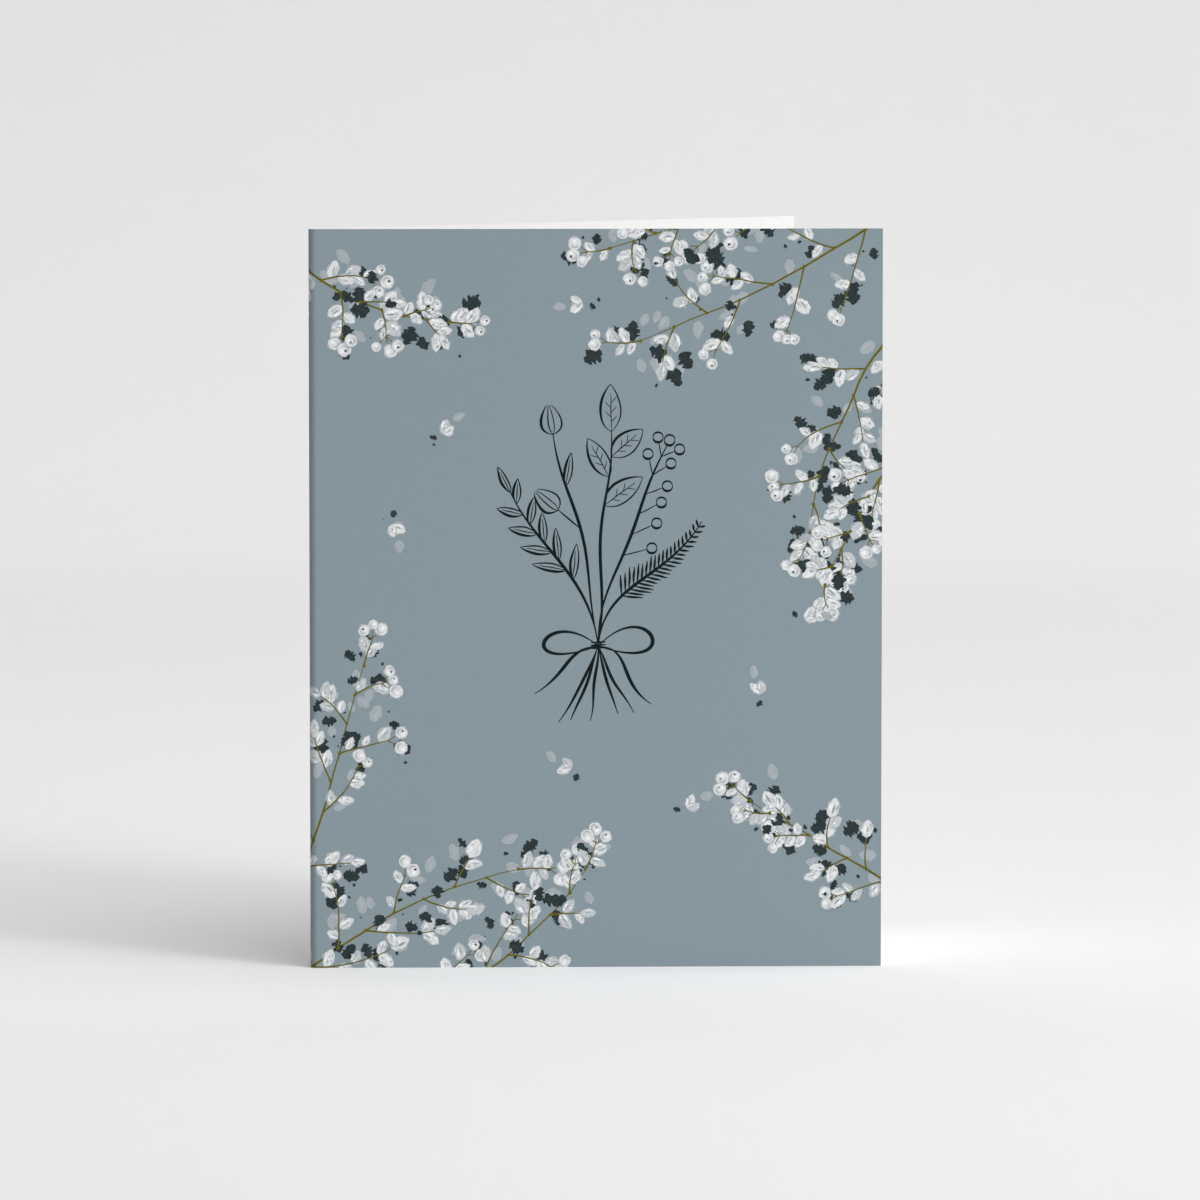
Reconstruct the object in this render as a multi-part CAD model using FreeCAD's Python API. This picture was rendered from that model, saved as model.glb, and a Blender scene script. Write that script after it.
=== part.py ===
"""Greeting card: one sheet of heavy card stock, scored down the middle, folded once and stood open.

The frame has its origin at the bottom centre of the standing card's box. +X runs along the front panel from
the fold to the free edge, the front panel's printed face looks along -Y, and +Z runs up the fold.
"""

import FreeCAD, Part

import math
import os

# Sizes in millimetres and the angle in degrees
CARD_WIDTH = 107.95  # folded, from the outside of the fold to the front panel's free edge: 4 1/4 inches
CARD_HEIGHT = 139.7  # along the fold: 5 1/2 inches
BOARD_THICKNESS = 0.4
OPENING_ANGLE = 29.0  # between the two panels, as the card stands
FOLD_OUTER_RADIUS = 1.4
BEAD_RADIUS = 0.5  # the bead is the ridge that the scoring rule raises along the inside of the fold
BEAD_HEIGHT = 0.25
BEAD_FILLET_RADIUS = 0.3

# The section is drawn across the fold, with the fold's outside on x = 0 and the front panel's face on y = 0
FOLD_INNER_RADIUS = FOLD_OUTER_RADIUS - BOARD_THICKNESS
FLAT_WIDTH = CARD_WIDTH - FOLD_OUTER_RADIUS
FOLD_CENTRE = FreeCAD.Vector(FOLD_OUTER_RADIUS, FOLD_OUTER_RADIUS, 0)
FRONT_TANGENT = 270.0  # directions from the fold's centre to where each panel runs out of the bend
BACK_TANGENT = 90.0 + OPENING_ANGLE


def towards(degrees):
    """The unit vector at this angle from +X, in the plane of the section."""
    return FreeCAD.Vector(math.cos(math.radians(degrees)), math.sin(math.radians(degrees)), 0)


def around_fold(radius, degrees):
    """The point of the section at this distance and direction from the fold's centre."""
    return FOLD_CENTRE + towards(degrees) * radius


def outline(steps):
    """The closed wire through the steps' points. A step with a centre is reached by an arc about it."""
    edges = []
    start = steps[-1][0]
    for end, centre in steps:
        if centre is None:
            edges.append(Part.LineSegment(start, end).toShape())
        else:
            half_way = start + end - centre * 2
            half_way.normalize()
            half_way = centre + half_way * start.distanceToPoint(centre)
            edges.append(Part.Arc(start, half_way, end).toShape())
        start = end
    return Part.Wire(edges)


def crease_steps():
    """The steps along the inside of the fold: bend, fillet, the bead's crown, fillet and bend."""
    middle = (FRONT_TANGENT + BACK_TANGENT) / 2
    crown_distance = FOLD_INNER_RADIUS - BEAD_HEIGHT + BEAD_RADIUS
    fillet_distance = FOLD_INNER_RADIUS - BEAD_FILLET_RADIUS
    between = BEAD_RADIUS + BEAD_FILLET_RADIUS
    cosine = (crown_distance**2 + fillet_distance**2 - between**2) / (2 * crown_distance * fillet_distance)
    reach = math.degrees(math.acos(cosine))  # each fillet's direction, to either side of the bead's

    crown = around_fold(crown_distance, middle)
    back_fillet = around_fold(fillet_distance, middle - reach)
    front_fillet = around_fold(fillet_distance, middle + reach)
    return [
        (around_fold(FOLD_INNER_RADIUS, middle - reach), FOLD_CENTRE),
        (crown + (back_fillet - crown) * (BEAD_RADIUS / between), back_fillet),
        (crown + (front_fillet - crown) * (BEAD_RADIUS / between), crown),
        (around_fold(FOLD_INNER_RADIUS, middle + reach), front_fillet),
        (around_fold(FOLD_INNER_RADIUS, FRONT_TANGENT), FOLD_CENTRE),
    ]


def folded_sheet():
    """The whole card: the outline of both panels and the fold between them, raised along the fold."""
    front_run = towards(0) * FLAT_WIDTH
    back_run = towards(OPENING_ANGLE) * FLAT_WIDTH
    section = outline([
        (around_fold(FOLD_OUTER_RADIUS, FRONT_TANGENT), None),
        (around_fold(FOLD_OUTER_RADIUS, BACK_TANGENT), FOLD_CENTRE),
        (around_fold(FOLD_OUTER_RADIUS, BACK_TANGENT) + back_run, None),
        (around_fold(FOLD_INNER_RADIUS, BACK_TANGENT) + back_run, None),
        (around_fold(FOLD_INNER_RADIUS, BACK_TANGENT), None),
        *crease_steps(),
        (around_fold(FOLD_INNER_RADIUS, FRONT_TANGENT) + front_run, None),
        (around_fold(FOLD_OUTER_RADIUS, FRONT_TANGENT) + front_run, None),
    ])
    return Part.Face(section).extrude(FreeCAD.Vector(0, 0, CARD_HEIGHT))


card = folded_sheet()
depth = around_fold(FOLD_OUTER_RADIUS, BACK_TANGENT).y + towards(OPENING_ANGLE).y * FLAT_WIDTH
card.translate(FreeCAD.Vector(-CARD_WIDTH / 2, -depth / 2, 0))

os.makedirs("parts", exist_ok=True)
card.exportStep("parts/card.step")
print("card:", card.ShapeType, len(card.Faces), "faces, valid", card.isValid())
print("volume in cubic millimetres:", round(card.Volume, 2))
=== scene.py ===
import math
import random

import bpy
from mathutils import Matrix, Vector
from mathutils.geometry import delaunay_2d_cdt


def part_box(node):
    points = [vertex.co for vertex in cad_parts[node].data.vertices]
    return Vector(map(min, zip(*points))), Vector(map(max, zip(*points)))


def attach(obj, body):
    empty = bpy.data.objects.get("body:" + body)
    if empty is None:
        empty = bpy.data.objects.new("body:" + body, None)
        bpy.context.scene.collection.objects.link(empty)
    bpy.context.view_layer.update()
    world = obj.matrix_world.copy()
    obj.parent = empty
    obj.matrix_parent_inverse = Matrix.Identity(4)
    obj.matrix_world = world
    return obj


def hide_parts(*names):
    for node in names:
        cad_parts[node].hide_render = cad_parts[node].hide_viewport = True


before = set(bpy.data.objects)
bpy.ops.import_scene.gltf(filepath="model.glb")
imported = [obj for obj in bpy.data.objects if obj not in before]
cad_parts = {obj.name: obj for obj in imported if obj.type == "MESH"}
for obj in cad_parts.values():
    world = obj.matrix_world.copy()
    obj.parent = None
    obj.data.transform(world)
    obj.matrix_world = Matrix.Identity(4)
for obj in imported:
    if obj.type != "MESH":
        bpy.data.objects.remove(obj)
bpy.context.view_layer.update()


# The board
# One sheet of heavy card stock, scored by a blunt rule and folded once about the score. The bend is round
# outside, and along its inside runs the low bead that the rule raised. Its four outer edges are cut square.

MM = 0.001
board_thickness = 0.4
opening = math.radians(29.0)
fold_radius = 1.4
bead_radius = 0.5
bead_height = 0.25
bead_fillet = 0.3
bend_steps = 18
inner_bend_steps, fillet_steps, crown_steps = 5, 4, 6

low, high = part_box("card")
card_width = (high.x - low.x) / MM
card_height = (high.z - low.z) / MM
flat_width = card_width - fold_radius
inner_radius = fold_radius - board_thickness
fold_centre = Vector((low.x / MM + fold_radius, low.y / MM + fold_radius))
front_tangent = math.radians(270)
back_tangent = math.radians(90) + opening
bend_length = fold_radius * (front_tangent - back_tangent)
back_edge = -bend_length - flat_width


def towards(angle):
    """The unit vector at this angle, in the section across the fold or in the flat of the print."""
    return Vector((math.cos(angle), math.sin(angle)))


def around_fold(radius, angle):
    """The point of the section at this distance and direction from the middle of the bend."""
    return fold_centre + towards(angle) * radius


def outside(across):
    """The place and the outward direction on the sheet's outer face, measured across it in millimetres.

    It counts from where the front panel leaves the bend, up to its free edge, and down round the bend and
    the back.
    """
    if across >= 0:
        return around_fold(fold_radius, front_tangent) + towards(0) * across, towards(front_tangent)
    if across > -bend_length:
        angle = front_tangent + across / fold_radius
        return around_fold(fold_radius, angle), towards(angle)
    past_bend = -bend_length - across
    return around_fold(fold_radius, back_tangent) + towards(opening) * past_bend, towards(back_tangent)


def arc_stations(centre, start, end, steps, outwards):
    """Points after the start along an arc, the short way, each with the way that the board's face looks."""
    first = (start - centre).normalized()
    last = (end - centre).normalized()
    radius = (start - centre).length
    turn = math.atan2(first.x * last.y - first.y * last.x, first.dot(last))
    angle = math.atan2(first.y, first.x)
    for step in range(1, steps + 1):
        spoke = towards(angle + turn * step / steps)
        yield centre + spoke * radius, spoke * outwards


def inside_stations():
    """The inner face in section, from the front's free edge to the back's, as (across, place, facing)."""
    middle = (front_tangent + back_tangent) / 2
    crown_distance = inner_radius - bead_height + bead_radius
    fillet_distance = inner_radius - bead_fillet
    between = bead_radius + bead_fillet
    cosine = (crown_distance**2 + fillet_distance**2 - between**2) / (2 * crown_distance * fillet_distance)
    reach = math.acos(cosine)
    crown = around_fold(crown_distance, middle)
    front_fillet = around_fold(fillet_distance, middle + reach)
    back_fillet = around_fold(fillet_distance, middle - reach)

    front_start = around_fold(inner_radius, front_tangent)
    front_root = around_fold(inner_radius, middle + reach)
    front_side = crown + (front_fillet - crown) * (bead_radius / between)
    back_side = crown + (back_fillet - crown) * (bead_radius / between)
    back_root = around_fold(inner_radius, middle - reach)
    back_start = around_fold(inner_radius, back_tangent)

    sections = [
        (front_start + towards(0) * flat_width, -towards(front_tangent)),
        (front_start, -towards(front_tangent)),
    ]
    sections += arc_stations(fold_centre, front_start, front_root, inner_bend_steps, -1)
    sections += arc_stations(front_fillet, front_root, front_side, fillet_steps, -1)
    sections += arc_stations(crown, front_side, back_side, crown_steps, 1)
    sections += arc_stations(back_fillet, back_side, back_root, fillet_steps, -1)
    sections += arc_stations(fold_centre, back_root, back_start, inner_bend_steps, -1)
    sections.append((back_start + towards(opening) * flat_width, -towards(back_tangent)))

    stations = []
    for place, facing in sections:
        spoke = place - fold_centre
        if place == sections[0][0]:
            across = flat_width
        elif place == sections[-1][0]:
            across = back_edge
        else:
            angle = math.atan2(spoke.y, spoke.x) % (2 * math.pi)
            across = fold_radius * (angle - front_tangent)
        stations.append((across, place, facing))
    return stations


# The printed ground
# The front panel is flooded edge to edge with one matt slate blue-grey. The flood runs on round the bend as
# bleed and stops where the back panel begins, so that no white shows at the fold.

ground_outline = [
    Vector((-bend_length, 0.0)),
    Vector((flat_width, 0.0)),
    Vector((flat_width, card_height)),
    Vector((-bend_length, card_height)),
]
streak_step = 1.7  # how far apart two patches' streaks lie in the noise that they are cut from
painted = []


def lay(paint, outline, origin=None, heading=0.0):
    """Prints a patch of paint over what is there. Its brush marks run from the origin along the heading."""
    turned = 0.0
    for point, following in zip(outline, outline[1:] + outline[:1]):
        turned += point.x * following.y - following.x * point.y
    if turned < 0:
        outline = outline[::-1]
    painted.append((paint, outline, origin or outline[0], heading, len(painted) * streak_step))


lay("slate", ground_outline)


# The painted sprigs
# Small gouache leaves and berries on fine olive stems, in loose sprays that come in from the corners. White
# is laid over a thin wash of itself, with paler and greyer strokes in it, and charcoal leaves lie behind.

brush = random.Random(7)


def uneven(value, share):
    """The value, more or less by up to this share."""
    return value * (1 + brush.uniform(-share, share))


def stem_line(start, heading, length, bend, steps):
    """Points and headings along a stem that turns by the bend and wavers a little, from start to tip."""
    waver = 0.09
    line = [(start.copy(), heading)]
    for step in range(steps):
        heading += bend / steps + brush.uniform(-waver, waver)
        start = start + towards(heading) * (length / steps)
        line.append((start.copy(), heading))
    return line


def blot(centre, radius, roughness, points):
    """The ragged outline of a round touch of the brush."""
    return [centre + towards(2 * math.pi * k / points) * uneven(radius, roughness) for k in range(points)]


def lay_line(paint, line, widths):
    """A line of changing width, laid as a row of short patches that meet edge to edge."""
    sides = []
    for (point, heading), width in zip(line, widths):
        aside = towards(heading + math.pi / 2) * (width / 2)
        sides.append((point + aside, point - aside))
    for (left, right), (next_left, next_right) in zip(sides, sides[1:]):
        lay(paint, [right, next_right, next_left, left], right, 0.0)


def lay_stem(line, thick, thin):
    """An olive stem, thick at its foot and drawn out thin at its tip."""
    last = len(line) - 1
    lay_line("olive", line, [thick + (thin - thick) * step / last for step in range(last + 1)])


def leaf_places(base, heading, length, curl):
    """A function from the share along a leaf's curled midrib, and the distance aside, to the point."""
    def place(share, aside):
        along = base + towards(heading + curl * share / 2) * (length * share)
        return along + towards(heading + curl * share + math.pi / 2) * aside
    return place


def blade(place, length, width, grow, roughness, steps=9):
    """A leaf's outline: bowed sides that meet at a blunt tip, ragged as a half-dry brush leaves them."""
    lean_to_foot, fullness = 0.9, 0.65
    left, right = [], []
    for step in range(1, steps):
        share = step / steps
        half = width / 2 * math.sin(math.pi * share**lean_to_foot) ** fullness + grow
        left.append(place(share, uneven(half, roughness)))
        right.append(place(share, -uneven(half, roughness)))
    foot = place(-grow / length, 0.0)
    tip = place(1 + grow / length, 0.0)
    return [foot] + right + [tip] + left[::-1]


def stroke_in(place, start, end, aside, thickness):
    """A slim brush stroke inside a leaf or berry, pointed at both ends."""
    shares = [start + (end - start) * step / 4 for step in range(5)]
    swell = [0.0, 0.75, 1.0, 0.7, 0.0]
    left = [place(share, aside + thickness / 2 * bulge) for share, bulge in zip(shares, swell)]
    right = [place(share, aside - thickness / 2 * bulge) for share, bulge in zip(shares, swell)]
    return right + left[-2:0:-1]


def white_leaf(base, heading, length):
    """A white leaf: a thin wash, a rough dab of white on it, then broken strokes and flecks of others."""
    width = length * brush.uniform(0.5, 0.7)
    place = leaf_places(base, heading, length, brush.uniform(-0.6, 0.6))
    lay("thin white", blade(place, length, width, 0.12, 0.26), base, heading)
    dab = brush.choice(("white", "white", "white", "grey white"))
    lay(dab, blade(place, length, width, -0.08, 0.2), base, heading)
    rib = width * brush.uniform(-0.12, 0.12)
    for paint, aside, thickness in (
        ("bright white", rib + width * 0.24, 0.22),
        ("grey white", rib - width * 0.24, 0.2),
        (brush.choice(("wash", "wash", "slate")), rib, 0.15),
    ):
        start = brush.uniform(0.06, 0.35)
        if brush.random() < 0.85:
            end = start + brush.uniform(0.35, 0.6)
            stroke = stroke_in(place, start, end, aside, width * uneven(thickness, 0.3))
            lay(paint, stroke, base, heading)
    flecks = 4
    for _ in range(flecks):
        start = brush.uniform(0.06, 0.72)
        aside = width * brush.uniform(-0.38, 0.38)
        end = start + brush.uniform(0.12, 0.24)
        stroke = stroke_in(place, start, end, aside, width * brush.uniform(0.08, 0.17))
        lay(brush.choice(("wash", "thin white", "bright white")), stroke, base, heading)


def grey_leaf(base, heading, length):
    """A leaf of one thin wash that the slate shows through."""
    width = length * brush.uniform(0.5, 0.66)
    place = leaf_places(base, heading, length, brush.uniform(-0.5, 0.5))
    lay("wash", blade(place, length, width, 0.0, 0.2), base, heading)
    stroke = stroke_in(place, 0.15, 0.85, width * brush.uniform(-0.15, 0.15), width * 0.3)
    lay("thin white", stroke, base, heading)


def charcoal_leaf(base, heading, length):
    """A dark leaf, broader and more ragged than the white ones, with a speck of its paint beside it."""
    width = length * brush.uniform(0.55, 0.8)
    place = leaf_places(base, heading, length, brush.uniform(-0.7, 0.7))
    lay("charcoal", blade(place, length, width, 0.0, 0.5, 13), base, heading)
    if brush.random() < 0.5:
        speck = base + towards(brush.uniform(0, 2 * math.pi)) * length * brush.uniform(0.7, 1.2)
        lay("charcoal", blot(speck, brush.uniform(0.15, 0.45), 0.4, 8), speck)


def white_berry(centre, radius, heading):
    """A white berry: a round of white on a thin wash, a grey stroke on its shaded side and a dark eye."""
    def place(share, aside):
        angle = heading + math.pi / 2 + math.pi * 1.3 * (share - 0.5)
        return centre + towards(angle) * (radius * 0.6 + aside)

    lay("thin white", blot(centre, radius + 0.14, 0.16, 14), centre, heading)
    lay("white", blot(centre, radius, 0.12, 12), centre, heading)
    lay("grey white", stroke_in(place, 0.0, 1.0, 0.0, radius * 0.36), centre, heading)
    lay("wash", stroke_in(place, 0.25, 0.8, radius * 0.1, radius * 0.16), centre, heading)
    glint = centre + towards(heading - math.pi / 2) * radius * 0.35
    lay("bright white", blot(glint, radius * 0.34, 0.2, 7), centre, heading)
    if brush.random() < 0.6:
        eye = centre + towards(heading) * radius * 0.3
        lay(brush.choice(("charcoal", "slate")), blot(eye, radius * 0.2, 0.35, 6), eye)


def shoot(start, heading, length, berries):
    """A side shoot: charcoal leaves behind, loose pairs of white ones, and a leaf or berries at its tip."""
    line = stem_line(start, heading, length, brush.uniform(-0.5, 0.5), 6)
    for _ in range(brush.choice((2, 3, 4))):
        near, way = brush.choice(line[1:])
        place = near + towards(brush.uniform(0, 2 * math.pi)) * brush.uniform(1.2, 3.6)
        charcoal_leaf(place, way + brush.uniform(-1.6, 1.6), brush.uniform(2.0, 4.0))
    for index, side in ((1, 1), (2, -1), (3, 1), (4, -1), (5, 1), (5, -1)):
        if brush.random() < 0.66:
            point, way = line[index]
            white_leaf(point, way + side * brush.uniform(0.5, 1.2), brush.uniform(2.4, 3.8))
    lay_stem(line, 0.34, 0.18)
    lay("olive", blot(start, 0.34, 0.4, 7), start)
    tip, way = line[-1]
    if berries:
        for swing in (-0.8, 0.1, 0.9)[: brush.choice((2, 3))]:
            stalk = stem_line(tip, way + swing, brush.uniform(1.0, 2.2), 0.2, 2)
            lay_stem(stalk, 0.2, 0.13)
            radius = brush.uniform(0.85, 1.3)
            end, lean = stalk[-1]
            white_berry(end + towards(lean) * radius * 0.8, radius, way + brush.uniform(-1, 1))
    else:
        white_leaf(tip, way, brush.uniform(2.8, 4.0))


def spray(start, heading, length, bend):
    """A stem with its side shoots, set by turns and shorter towards the tip, with washed leaves behind."""
    joints = 16
    line = stem_line(start, heading, length, bend, joints)
    for _ in range(int(length / 3)):
        near, way = brush.choice(line[4:])
        place = near + towards(brush.uniform(0, 2 * math.pi)) * brush.uniform(3, 8)
        grey_leaf(place, way + brush.uniform(-1.5, 1.5), brush.uniform(2.2, 3.6))
    lay_stem(line, 0.5, 0.16)
    side = brush.choice((-1, 1))
    for index in range(2, joints, 2):
        point, way = line[index]
        reach = (0.3 - 0.012 * index) * length * brush.uniform(0.7, 1.15)
        shoot(point, way + side * brush.uniform(0.6, 0.95), reach, brush.random() < 0.5)
        side = -side
    shoot(line[-1][0], line[-1][1], length * 0.12, True)


# Where each spray comes in, across and up the front, then its heading, its length and how far it turns
for across, up, degrees, length, bend in (
    (109, 143, 213, 54, 0.35),
    (110, 122, 232, 44, 0.45),
    (90, 145, 192, 36, 0.30),
    (111, 98, 226, 30, 0.55),
    (-6, -4, 40, 50, -0.30),
    (-6, 14, 66, 46, 0.25),
    (16, -6, 10, 44, 0.35),
    (-6, 135, -32, 34, 0.45),
    (111, 14, 150, 34, -0.40),
):
    spray(Vector((across, up)), math.radians(degrees), length, bend)


def loose_sprig(centre, heading):
    """A few leaves by themselves in the open ground."""
    white_leaf(centre, heading + 0.5, 3.0)
    white_leaf(centre, heading - 0.5, 2.4)
    grey_leaf(centre + towards(heading) * 3.2, heading - 0.6, 2.6)
    charcoal_leaf(centre + towards(heading + 2.6) * 1.5, heading + 1.9, 1.5)


for across, up, degrees in (
    (24, 101, 60), (50, 126, 200), (84, 52, 120), (14, 84, 300), (70, 30, 45), (92, 66, 20), (48, 38, 160),
):
    loose_sprig(Vector((across, up)), math.radians(degrees))


# The pen drawing
# In the middle of the front is a small tied posy in dark ink, drawn with a pointed pen: the line swells
# where the nib is pressed and thins at the start and end of each stroke.

pen = random.Random(3)


def pen_stroke(start, leave, arrive, end, heavy=0.55, fine=0.18, steps=18):
    """A stroke of the pen: a curve from start to end that leaves and arrives by the two points between."""
    wander = pen.uniform(-0.012, 0.012) * (end - start).length
    across = (leave - start).orthogonal().normalized()
    press = pen.uniform(0.75, 1.3)
    points = []
    for step in range(steps + 1):
        t = step / steps
        s = 1 - t
        point = start * s**3 + leave * (3 * s * s * t) + arrive * (3 * s * t * t) + end * t**3
        points.append(point + across * wander * math.sin(3 * math.pi * t))
    line, widths = [], []
    for index, point in enumerate(points):
        ahead = points[min(index + 1, steps)] - points[max(index - 1, 0)]
        line.append((point, math.atan2(ahead.y, ahead.x)))
        widths.append(fine + (heavy - fine) * math.sin(math.pi * (index / steps) ** press) ** 1.2)
    lay_line("pen ink", line, widths)
    return line


def pen_line(start, end, heavy, fine, steps=8):
    """A short, nearly straight stroke."""
    return pen_stroke(start, start.lerp(end, 0.3), start.lerp(end, 0.7), end, heavy, fine, steps)


def pen_leaf(base, heading, length, width, veins):
    """A leaf in outline: two strokes from base to tip that don't quite match, a midrib and a few veins."""
    tip = base + towards(heading) * length
    for side, heavy in ((1, 0.53), (-1, 0.3)):
        bow = towards(heading + side * math.pi / 2) * width * pen.uniform(0.58, 0.74)
        leave = base + towards(heading) * length * 0.2 + bow
        arrive = base + towards(heading) * length * 0.7 + bow * 0.85
        pen_stroke(base, leave, arrive, tip, heavy, 0.14, 14)
    pen_line(base, base.lerp(tip, 0.8), 0.22, 0.11)
    for index in range(veins):
        foot = base.lerp(tip, 0.2 + 0.5 * index / veins)
        side = 1 if index % 2 else -1
        pen_line(foot, foot + towards(heading + side * 0.75) * width * 0.4, 0.17, 0.1, 4)


def pen_ring(centre, radius):
    """A berry: a ring in two strokes, the lower one heavier."""
    quarter = radius * 1.33
    left, right = centre + Vector((-radius, 0)), centre + Vector((radius, 0))
    pen_stroke(left, left + Vector((0, quarter)), right + Vector((0, quarter)), right, 0.36, 0.17, 10)
    pen_stroke(right, right - Vector((0, quarter)), left - Vector((0, quarter)), left, 0.5, 0.17, 10)


def slim_leaves(stem):
    """A plant with slim leaves set by turns along both sides."""
    for index in range(12, 29, 2):
        point, way = stem[index]
        side = 1 if index % 4 else -1
        pen_leaf(point, way + side * pen.uniform(0.55, 0.8), 8.2 - index * 0.12, 1.5, 0)
    pen_leaf(stem[-1][0], stem[-1][1], 5.5, 1.5, 0)


def broad_leaves(stem):
    """A plant with a few large veined leaves."""
    for index, side in ((19, -1), (23, 1), (26, -1)):
        point, way = stem[index]
        pen_leaf(point, way + side * pen.uniform(0.6, 0.85), 12.0 - index * 0.16, 4.0, 5)
    pen_leaf(stem[-1][0], stem[-1][1], 9.0, 4.0, 5)


def buds(stem):
    """A plant with a slim leaf, a closed bud at its tip and another on a side stalk."""
    point, way = stem[22]
    pen_leaf(point, way - 0.5, 6.4, 1.5, 0)
    for index, side, length in ((16, 1, 5.5), (30, 0, 0.0)):
        point, way = stem[index]
        heading = way + side * 0.6
        tip = point + towards(heading) * length
        if length:
            pen_line(point, tip, 0.34, 0.15)
        for swing, heavy in ((-0.42, 0.34), (-0.1, 0.22), (0.12, 0.28), (0.42, 0.55)):
            petal = tip + towards(heading + swing * 0.2) * 5.6
            bow = towards(heading + math.pi / 2) * swing * 6.6
            leave = tip.lerp(petal, 0.12) + bow
            arrive = tip.lerp(petal, 0.6) + bow * 0.7
            pen_stroke(tip, leave, arrive, petal, heavy, 0.14, 12)


def berries(stem):
    """A plant with round berries on thin stalks."""
    for index in range(13, 30, 3):
        point, way = stem[index]
        for side in (1, -1) if index > 24 else (-1,):
            heading = way + side * pen.uniform(0.6, 0.95)
            tip = point + towards(heading) * (6.4 - index * 0.13)
            pen_line(point, tip, 0.24, 0.14)
            pen_ring(tip + towards(heading) * 0.95, 0.95)
    pen_ring(stem[-1][0] + towards(stem[-1][1]), 1.0)


def fronds(stem):
    """A fern: short pressed strokes in pairs, shorter towards the tip."""
    for index in range(10, 30):
        point, way = stem[index]
        for side in (1, -1):
            tip = point + towards(way + side * 0.85) * (5.8 - index * 0.15) * pen.uniform(0.85, 1.1)
            pen_line(point, tip, 0.46, 0.13, 6)


tie = Vector((53.0, 61.0))
for tip, lean, dress in (
    (Vector((36.5, 90.0)), -9, slim_leaves),
    (Vector((44.5, 101.0)), -5, buds),
    (Vector((55.5, 101.5)), 2, broad_leaves),
    (Vector((66.0, 99.0)), 7, berries),
    (Vector((72.5, 84.5)), 10, fronds),
):
    foot = tie + Vector((-lean * 0.75, -12.0 - pen.uniform(0, 3)))
    leave = tie + Vector((lean * 0.15, 13))
    arrive = tip + Vector((-lean * 0.6, -11))
    dress(pen_stroke(tie, leave, arrive, tip, 0.62, 0.2, 30))
    leave = foot + Vector((lean * 0.3, 4))
    arrive = tie + Vector((-lean * 0.15, -4))
    pen_stroke(foot, leave, arrive, tie, 0.6, 0.16, 14)

for side, rise in ((-1, 8.5), (1, 10.5)):
    out = Vector((side, 0))
    leave = tie + out * 10 + Vector((0, rise))
    arrive = tie + out * 17 + Vector((0, -6))
    pen_stroke(tie, leave, arrive, tie, 0.76, 0.18, 30)
    end = tie + out * (11 - side) + Vector((0, -10 - side))
    pen_stroke(tie, tie + out * 7 + Vector((0, -1)), end + out * -6 + Vector((0, 3)), end, 0.68, 0.15, 20)
for height in (-0.45, 0.1, 0.6):
    pen_line(tie + Vector((-1.4, height)), tie + Vector((1.4, height + 0.2)), 0.42, 0.2)


# Making the sheet
# The printed face is cut into triangles along the edges of every patch of paint, so the print is crisp from
# any distance. It is then wrapped round the bend, and the white inside, back and cut edges close the sheet.

corner_points = []
patch_faces = []
for _, outline, _, _, _ in painted:
    patch_faces.append(list(range(len(corner_points), len(corner_points) + len(outline))))
    corner_points.extend(outline)
bend_lines = []
for step in range(bend_steps):
    across = -bend_length * step / bend_steps
    bend_lines.append((len(corner_points), len(corner_points) + 1))
    corner_points.extend((Vector((across, 0.0)), Vector((across, card_height))))
within_outline = 1
merge_distance = 0.002
places, _, faces, _, _, face_patches = delaunay_2d_cdt(
    corner_points, bend_lines, patch_faces, within_outline, merge_distance, True,
)

vertices = []
sheet_faces = []


def add_vertex(place, up):
    """A vertex of the sheet at this place of the section and height, in millimetres."""
    vertices.append((place.x * MM, place.y * MM, up * MM))
    return len(vertices) - 1


def add_face(corners, material):
    """A face of the sheet. A corner is (vertex, facing, map place, brush place)."""
    first, second, third = [Vector(vertices[corner[0]]) for corner in corners[:3]]
    if (second - first).cross(third - first).dot(corners[0][1]) < 0:
        corners = corners[::-1]
    sheet_faces.append((corners, material))


# In the map the printed face stands from foot to top, and beside it is a narrow column for all that is white
map_margin = 0.004
map_scale = (1 - 2 * map_margin) / card_height
front_map_width = (flat_width + bend_length) * map_scale
side_map = map_margin * 2.5 + front_map_width
side_scale = (1 - side_map - map_margin) / (flat_width * 2 + bend_length)


def flat_normal(direction):
    """A level direction as a vector in space."""
    return Vector((direction.x, direction.y, 0.0))


def surrounds(outline, point):
    """Whether the outline goes round the point."""
    inside = False
    for start, end in zip(outline, outline[1:] + outline[:1]):
        if (start.y > point.y) != (end.y > point.y):
            if point.x < start.x + (end.x - start.x) * (point.y - start.y) / (end.y - start.y):
                inside = not inside
    return inside


print_vertices = {}
edge_uses = {}
slots = []
for face, patches in zip(faces, face_patches):
    centre = sum((places[index] for index in face), Vector((0.0, 0.0))) / len(face)
    if not surrounds(ground_outline, centre):
        continue
    for edge in zip(face, face[1:] + face[:1]):
        edge_uses.setdefault(frozenset(edge), []).append(face)
    over = [patch for patch in patches if surrounds(painted[patch][1], centre)]
    paint, _, origin, heading, seed = painted[max(over, default=0)]
    if paint not in slots:
        slots.append(paint)
    corners = []
    for index in face:
        across, up = places[index]
        if index not in print_vertices:
            print_vertices[index] = add_vertex(outside(across)[0], up)
        from_origin = places[index] - origin
        along = from_origin.dot(towards(heading))
        aside = from_origin.dot(towards(heading + math.pi / 2))
        map_place = ((across + bend_length) * map_scale + map_margin, up * map_scale + map_margin)
        facing = flat_normal(outside(across)[1])
        corners.append((print_vertices[index], facing, map_place, (along, aside, seed)))
    add_face(corners, paint)

border = {index for edge, uses in edge_uses.items() if len(uses) == 1 for index in edge}


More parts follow.
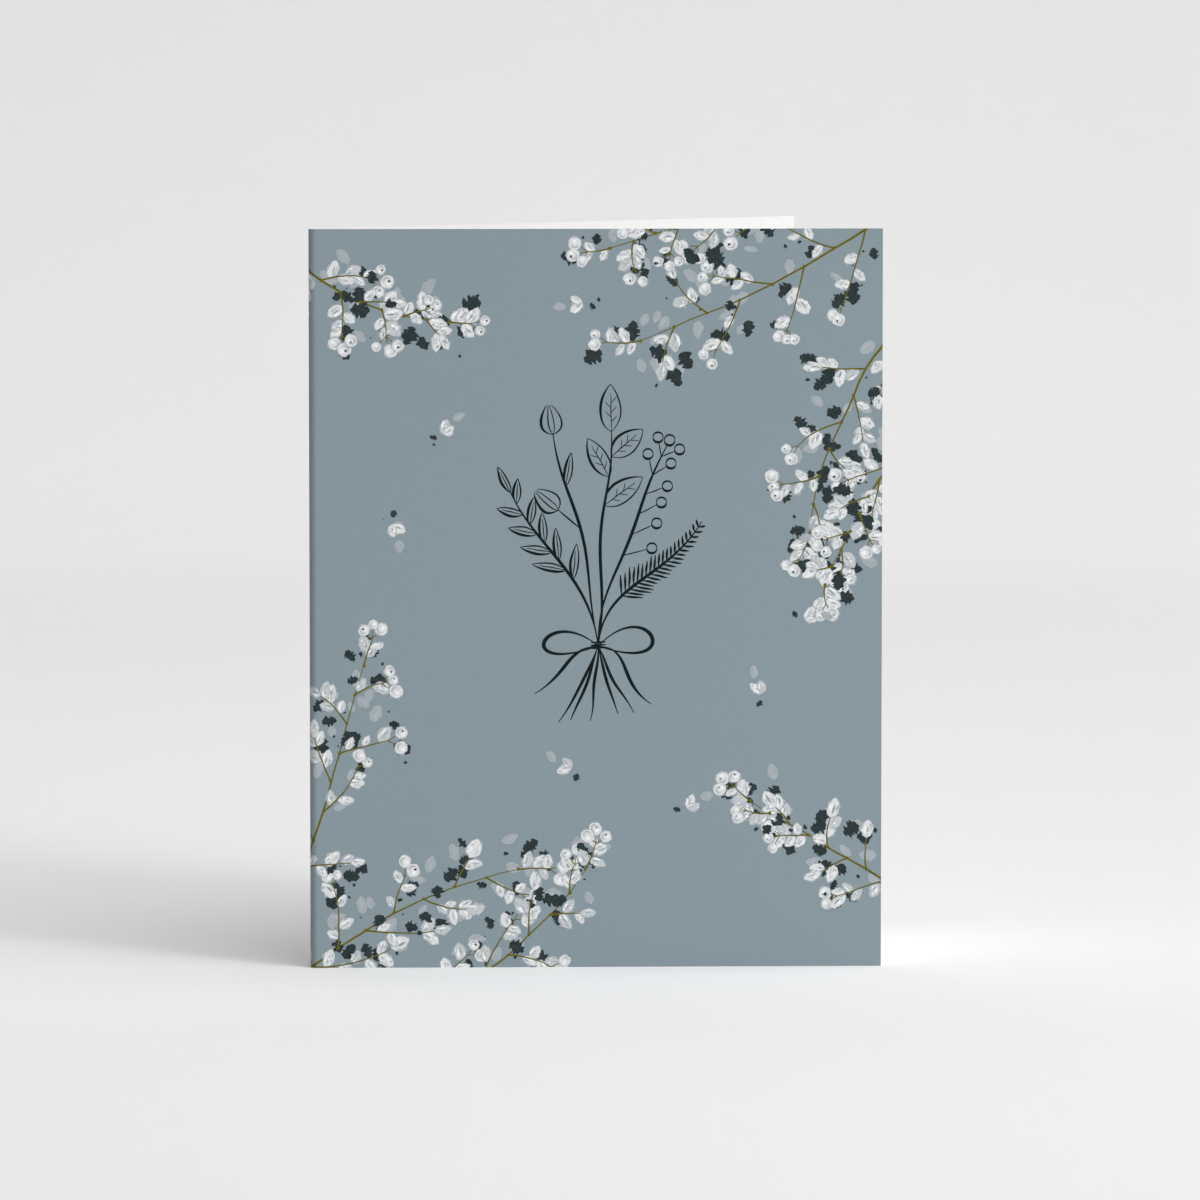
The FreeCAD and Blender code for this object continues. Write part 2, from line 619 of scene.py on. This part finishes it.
def print_edge(is_on_edge, sort_key):
    """The printed face's vertices along one of its edges, in order, as (across, up, vertex)."""
    found = [(places[i].x, places[i].y, print_vertices[i]) for i in border if is_on_edge(places[i])]
    return sorted(found, key=sort_key)


near = 0.01
stations = inside_stations()
inner_low = [(across, 0.0, add_vertex(place, 0.0)) for across, place, _ in stations]
inner_high = [(across, card_height, add_vertex(place, card_height)) for across, place, _ in stations]
back_low = (back_edge, 0.0, add_vertex(outside(back_edge)[0], 0.0))
back_high = (back_edge, card_height, add_vertex(outside(back_edge)[0], card_height))
outer_low = print_edge(lambda p: p.y < near, lambda entry: -entry[0]) + [back_low]
outer_high = print_edge(lambda p: p.y > card_height - near, lambda entry: -entry[0]) + [back_high]
front_free = print_edge(lambda p: p.x > flat_width - near, lambda entry: entry[1])
bend_end = print_edge(lambda p: p.x < near - bend_length, lambda entry: entry[1])


def side_place(entry, shelf):
    """The place of an entry of a strip in the narrow side column of the map, on this shelf."""
    return Vector((side_map + (flat_width - entry[0]) * side_scale, shelf + entry[1] * side_scale))


def close_strip(one_side, other_side, measure, facing, shelf, map_width):
    """Joins two rows of vertices with triangles, always stepping on along the row that lags behind.

    The strip lies on a shelf of the map, where the other side is set off by the map width.
    """
    def corner(entry, set_off):
        return entry[2], facing, tuple(side_place(entry, shelf) + set_off), (entry[0], entry[1], 0.0)

    here = [corner(entry, Vector((0.0, 0.0))) for entry in one_side]
    there = [corner(entry, map_width) for entry in other_side]
    i = j = 0
    while i < len(here) - 1 or j < len(there) - 1:
        one_is_next = j == len(there) - 1
        if not one_is_next and i < len(here) - 1:
            one_is_next = measure(one_side[i + 1]) <= measure(other_side[j + 1])
        if one_is_next:
            add_face([here[i], here[i + 1], there[j]], "board")
            i += 1
        else:
            add_face([here[i], there[j], there[j + 1]], "board")
            j += 1


def along_sheet(entry):
    """How far along the low or the high edge an entry lies, from the front's free edge."""
    return -entry[0]


def up_sheet(entry):
    """How far up the sheet an entry lies."""
    return entry[1]


upward = Vector((0.0, 0.0, 1.0))
strip_width = 0.008
raised = Vector((0.0, strip_width))
right_of = Vector((strip_width, 0.0))
inner_front = [inner_low[0], inner_high[0]]
inner_back = [inner_low[-1], inner_high[-1]]
outer_back = [back_low, back_high]

# Each strip has a shelf of its own in the column, and the inner face lies across the foot of it
close_strip(outer_low, inner_low, along_sheet, -upward, 0.86, raised)
close_strip(outer_high, inner_high, along_sheet, upward, 0.60, raised)
close_strip(front_free, inner_front, up_sheet, flat_normal(towards(0)), 0.45, right_of)
close_strip(outer_back, inner_back, up_sheet, flat_normal(towards(opening)), 0.30, -right_of)
close_strip(bend_end, outer_back, up_sheet, flat_normal(towards(back_tangent)), 0.15, Vector((0.0, 0.0)))
for index in range(len(stations) - 1):
    corners = []
    columns = (index, index + 1, index + 1, index)
    for column, row in zip(columns, (inner_low, inner_low, inner_high, inner_high)):
        entry = row[column]
        facing = flat_normal(stations[column][2])
        corners.append((entry[2], facing, tuple(side_place(entry, 0.0)), (entry[0], entry[1], 0.0)))
    add_face(corners, "board")
slots.append("board")

all_corners = [corner for corners, _ in sheet_faces for corner in corners]
mesh = bpy.data.meshes.new("card")
mesh.from_pydata(vertices, [], [[corner[0] for corner in corners] for corners, _ in sheet_faces])
mesh.polygons.foreach_set("material_index", [slots.index(material) for _, material in sheet_faces])
mesh.polygons.foreach_set("use_smooth", [True] * len(sheet_faces))
map_layer = mesh.uv_layers.new(name="OFBake")
map_layer.data.foreach_set("uv", [value for corner in all_corners for value in corner[2]])
brush_layer = mesh.attributes.new("brush", "FLOAT_VECTOR", "CORNER")
brush_layer.data.foreach_set("vector", [value for corner in all_corners for value in corner[3]])
mesh.normals_split_custom_set([corner[1] for corner in all_corners])
card = bpy.data.objects.new("card_sheet", mesh)
bpy.context.scene.collection.objects.link(card)


# Inks and stock
# The stock is bright white and uncoated, with a fine tooth. The inks are matt and sink into it: the slate
# mottles very slightly, and the paints keep the streaks of the brush that they were painted with.

def from_display(red, green, blue):
    """A colour given as it looks on a screen, 0 to 255, in the renderer's own linear values."""
    values = []
    for value in (red, green, blue):
        value /= 255
        values.append(value / 12.92 if value <= 0.04045 else ((value + 0.055) / 1.055) ** 2.4)
    return (*values, 1.0)


def toothed_stock(name, roughness):
    """A matt material with the tooth of uncoated stock, and its nodes, links and shader."""
    material = bpy.data.materials.new(name)
    material.use_nodes = True
    nodes, links = material.node_tree.nodes, material.node_tree.links
    shader = nodes["Principled BSDF"]
    shader.inputs["Roughness"].default_value = roughness
    shader.inputs["Specular IOR Level"].default_value = 0.08
    place = nodes.new("ShaderNodeTexCoord")
    tooth = nodes.new("ShaderNodeTexNoise")
    tooth.inputs["Scale"].default_value = 5200.0
    tooth.inputs["Detail"].default_value = 3.0
    links.new(place.outputs["Object"], tooth.inputs["Vector"])
    bump = nodes.new("ShaderNodeBump")
    bump.inputs["Strength"].default_value = 0.35
    bump.inputs["Distance"].default_value = 0.00002
    links.new(tooth.outputs["Fac"], bump.inputs["Height"])
    links.new(bump.outputs["Normal"], shader.inputs["Normal"])
    return material, nodes, links, shader


def colour_by(noise, edge, colour, other, nodes, links, shader):
    """Turns from one colour to the other as the noise goes from the edge to as far below one."""
    ramp = nodes.new("ShaderNodeValToRGB")
    first, last = ramp.color_ramp.elements
    first.position, last.position = edge, 1 - edge
    first.color, last.color = from_display(*colour), from_display(*other)
    links.new(noise.outputs["Fac"], ramp.inputs["Fac"])
    links.new(ramp.outputs["Color"], shader.inputs["Base Color"])


def mottled(name, colour, other, scale, roughness):
    """Stock or ink that varies softly between two near colours."""
    material, nodes, links, shader = toothed_stock(name, roughness)
    place = nodes.new("ShaderNodeTexCoord")
    noise = nodes.new("ShaderNodeTexNoise")
    noise.inputs["Scale"].default_value = scale
    noise.inputs["Detail"].default_value = 5.0
    noise.inputs["Roughness"].default_value = 0.7
    links.new(place.outputs["Object"], noise.inputs["Vector"])
    colour_by(noise, 0.3, colour, other, nodes, links, shader)
    return material


def brushed(name, colour, other, streak, roughness):
    """Paint that varies between two colours in streaks along the brush's way."""
    material, nodes, links, shader = toothed_stock(name, roughness)
    marks = nodes.new("ShaderNodeAttribute")
    marks.attribute_name = "brush"
    stretch = nodes.new("ShaderNodeVectorMath")
    stretch.operation = "MULTIPLY"
    stretch.inputs[1].default_value = (0.45, streak, 1.0)
    links.new(marks.outputs["Vector"], stretch.inputs[0])
    noise = nodes.new("ShaderNodeTexNoise")
    noise.inputs["Scale"].default_value = 1.0
    noise.inputs["Detail"].default_value = 3.0
    links.new(stretch.outputs["Vector"], noise.inputs["Vector"])
    colour_by(noise, 0.35, colour, other, nodes, links, shader)
    return material


finishes = {
    "board": mottled("white_stock", (246, 246, 245), (242, 242, 241), 700.0, 0.9),
    "slate": mottled("slate_ink", (141, 156, 164), (145, 160, 167), 1400.0, 0.8),
    "white": brushed("white_paint", (235, 236, 237), (221, 224, 226), 5.0, 0.75),
    "bright white": brushed("bright_white_paint", (253, 253, 253), (243, 245, 246), 5.0, 0.75),
    "grey white": brushed("grey_white_paint", (196, 202, 206), (210, 214, 216), 5.0, 0.75),
    "thin white": brushed("thin_white_paint", (166, 175, 180), (188, 195, 199), 4.0, 0.8),
    "wash": brushed("white_wash", (164, 174, 180), (180, 188, 193), 4.0, 0.8),
    "charcoal": brushed("charcoal_paint", (40, 50, 52), (56, 66, 68), 4.0, 0.75),
    "olive": brushed("olive_paint", (98, 93, 4), (114, 107, 22), 3.0, 0.75),
    "pen ink": brushed("pen_ink", (7, 18, 20), (18, 31, 33), 2.0, 0.6),
}
for slot in slots:
    mesh.materials.append(finishes[slot])

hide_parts("card")
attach(card, "root")


# The studio
# A pale table sweeps up into a far wall. Painted shade greys the table a little behind the card, lays
# a faint band of it across the table further back, greys the wall a little and greys both more to the
# left. A soft lamp stands to the right and in front. Wide light comes from above right.

def studio_sweep():
    """The table, a wide cove and the wall, as one sheet of quads, each point with its share of painted shade.
    """
    reach = 4.5
    table_end, cove_radius, cove_steps, wall_height = 1.3, 1.1, 16, 4.0
    # Shares of painted shade: behind the card, in a band further back, on the wall, and more to the left
    near_painted_shade, band_painted_shade, wall_painted_shade, side_painted_shade = 0.1, 0.4, 0.15, 0.35
    profile = [
        (-reach, 0.0, 0.0),
        (0.0, 0.0, 0.0),
        (0.4, 0.0, near_painted_shade),
        (0.66, 0.0, band_painted_shade),
        (0.78, 0.0, band_painted_shade),
        (0.92, 0.0, wall_painted_shade),
    ]
    for step in range(cove_steps + 1):
        angle = math.pi / 2 * step / cove_steps
        along = table_end + cove_radius * math.sin(angle)
        profile.append((along, cove_radius * (1 - math.cos(angle)), wall_painted_shade))
    profile.append((table_end + cove_radius, wall_height, wall_painted_shade))
    columns = [(-reach, side_painted_shade), (-0.3, side_painted_shade), (0.3, -side_painted_shade), (reach, -side_painted_shade)]
    corners = [(x, y, z) for y, z, _ in profile for x, _ in columns]
    wide = len(columns)
    quads = []
    for row in range(len(profile) - 1):
        for column in range(wide - 1):
            first = row * wide + column
            quads.append((first, first + 1, first + wide + 1, first + wide))
    sweep_mesh = bpy.data.meshes.new("studio")
    sweep_mesh.from_pydata(corners, [], quads)
    sweep_mesh.polygons.foreach_set("use_smooth", [True] * len(quads))
    painted_shade = sweep_mesh.attributes.new("painted_shade", "FLOAT", "POINT")
    painted_shade.data.foreach_set("value", [grey + more for _, _, grey in profile for _, more in columns])
    return bpy.data.objects.new("studio", sweep_mesh)


studio = studio_sweep()
bpy.context.scene.collection.objects.link(studio)
paper_white = bpy.data.materials.new("studio_white")
paper_white.use_nodes = True
paper_nodes, paper_links = paper_white.node_tree.nodes, paper_white.node_tree.links
paper_nodes["Principled BSDF"].inputs["Roughness"].default_value = 0.9
paper_nodes["Principled BSDF"].inputs["Specular IOR Level"].default_value = 0.1
paper_painted_shade = paper_nodes.new("ShaderNodeAttribute")
paper_painted_shade.attribute_name = "painted_shade"
paper_colour = paper_nodes.new("ShaderNodeValToRGB")
# The pale end is the sweep's own colour; the grey end is where the painted shade is full
paper_colour.color_ramp.elements[0].color = from_display(252, 251, 251)
paper_colour.color_ramp.elements[1].color = from_display(239, 238, 238)
paper_links.new(paper_painted_shade.outputs["Fac"], paper_colour.inputs["Fac"])
paper_links.new(paper_colour.outputs["Color"], paper_nodes["Principled BSDF"].inputs["Base Color"])
studio.data.materials.append(paper_white)


def hang_light(light, power, place, heading):
    """Sets a light's power and hangs it at a place, shining along the heading."""
    light.energy = power
    holder = bpy.data.objects.new(light.name, light)
    holder.location = place
    holder.rotation_euler = heading.to_track_quat("-Z", "Y").to_euler()
    bpy.context.scene.collection.objects.link(holder)


# The soft lamp is square, and the grid on it keeps its light off the table below it
lamp = bpy.data.lights.new("key", "AREA")
lamp.size = 0.34
lamp.spread = math.radians(70)
lamp_place, lit_place = Vector((0.98, -0.82, 0.57)), Vector((0.0, 0.0, 0.04))
hang_light(lamp, 0.82, lamp_place, lit_place - lamp_place)

skylight = bpy.data.lights.new("skylight", "SUN")
skylight.angle = math.radians(76)
hang_light(skylight, 2.4, Vector((0.0, 0.0, 0.0)), Vector((-0.445, 0.35, -0.825)))

# Beyond the wall the air looks pale to the camera, in gloss and through glass, but lights the card only dimly
world = bpy.data.worlds.new("studio")
world.use_nodes = True
world_nodes, world_links = world.node_tree.nodes, world.node_tree.links
dim_air = world_nodes["Background"]
dim_air.inputs["Color"].default_value = (1.0, 1.0, 1.0, 1.0)
dim_air.inputs["Strength"].default_value = 0.03
pale_air = world_nodes.new("ShaderNodeBackground")
pale_air.inputs["Color"].default_value = (1.0, 1.0, 1.0, 1.0)
pale_air.inputs["Strength"].default_value = 0.8
ray = world_nodes.new("ShaderNodeLightPath")
seen_or_glossy = world_nodes.new("ShaderNodeMath")
seen_or_glossy.operation = "MAXIMUM"
world_links.new(ray.outputs["Is Camera Ray"], seen_or_glossy.inputs[0])
world_links.new(ray.outputs["Is Glossy Ray"], seen_or_glossy.inputs[1])
seen_at_all = world_nodes.new("ShaderNodeMath")
seen_at_all.operation = "MAXIMUM"
world_links.new(seen_or_glossy.outputs["Value"], seen_at_all.inputs[0])
world_links.new(ray.outputs["Is Transmission Ray"], seen_at_all.inputs[1])
choose_air = world_nodes.new("ShaderNodeMixShader")
world_links.new(seen_at_all.outputs["Value"], choose_air.inputs["Fac"])
world_links.new(dim_air.outputs["Background"], choose_air.inputs[1])
world_links.new(pale_air.outputs["Background"], choose_air.inputs[2])
world_links.new(choose_air.outputs["Shader"], world_nodes["World Output"].inputs["Surface"])
bpy.context.scene.world = world
bpy.context.scene.view_settings.view_transform = "Standard"


# The camera
# It stands a long way off with a long lens, a little above the card's middle and a very little to the
# fold's side, so the front panel is nearly square on and the white inside of the back shows above it.

camera_distance = 1.6
camera_azimuth = math.radians(-1.73)
camera_elevation = math.radians(5.13)
pixels_per_mm = 5.2386
image_width = 1200
behind_front = 0.020
card_middle = Vector((0.0, low.y + behind_front, card_height / 2 * MM))
aside_pixels, above_pixels = -7.16, 10.07

back_from_card = Vector((
    math.sin(camera_azimuth) * math.cos(camera_elevation),
    -math.cos(camera_azimuth) * math.cos(camera_elevation),
    math.sin(camera_elevation),
))
camera_data = bpy.data.cameras.new("camera")
camera_data.sensor_width = 36.0
camera_data.lens = pixels_per_mm * camera_distance / MM / image_width * camera_data.sensor_width
camera_data.clip_end = 20.0
camera = bpy.data.objects.new("camera", camera_data)
turn = (-back_from_card).to_track_quat("-Z", "Y")
right, up = turn @ Vector((1, 0, 0)), turn @ Vector((0, 1, 0))
offset = (right * -aside_pixels - up * above_pixels) * (MM / pixels_per_mm)
camera.location = card_middle + offset + back_from_card * camera_distance
camera.rotation_euler = turn.to_euler()
bpy.context.scene.collection.objects.link(camera)
bpy.context.scene.camera = camera
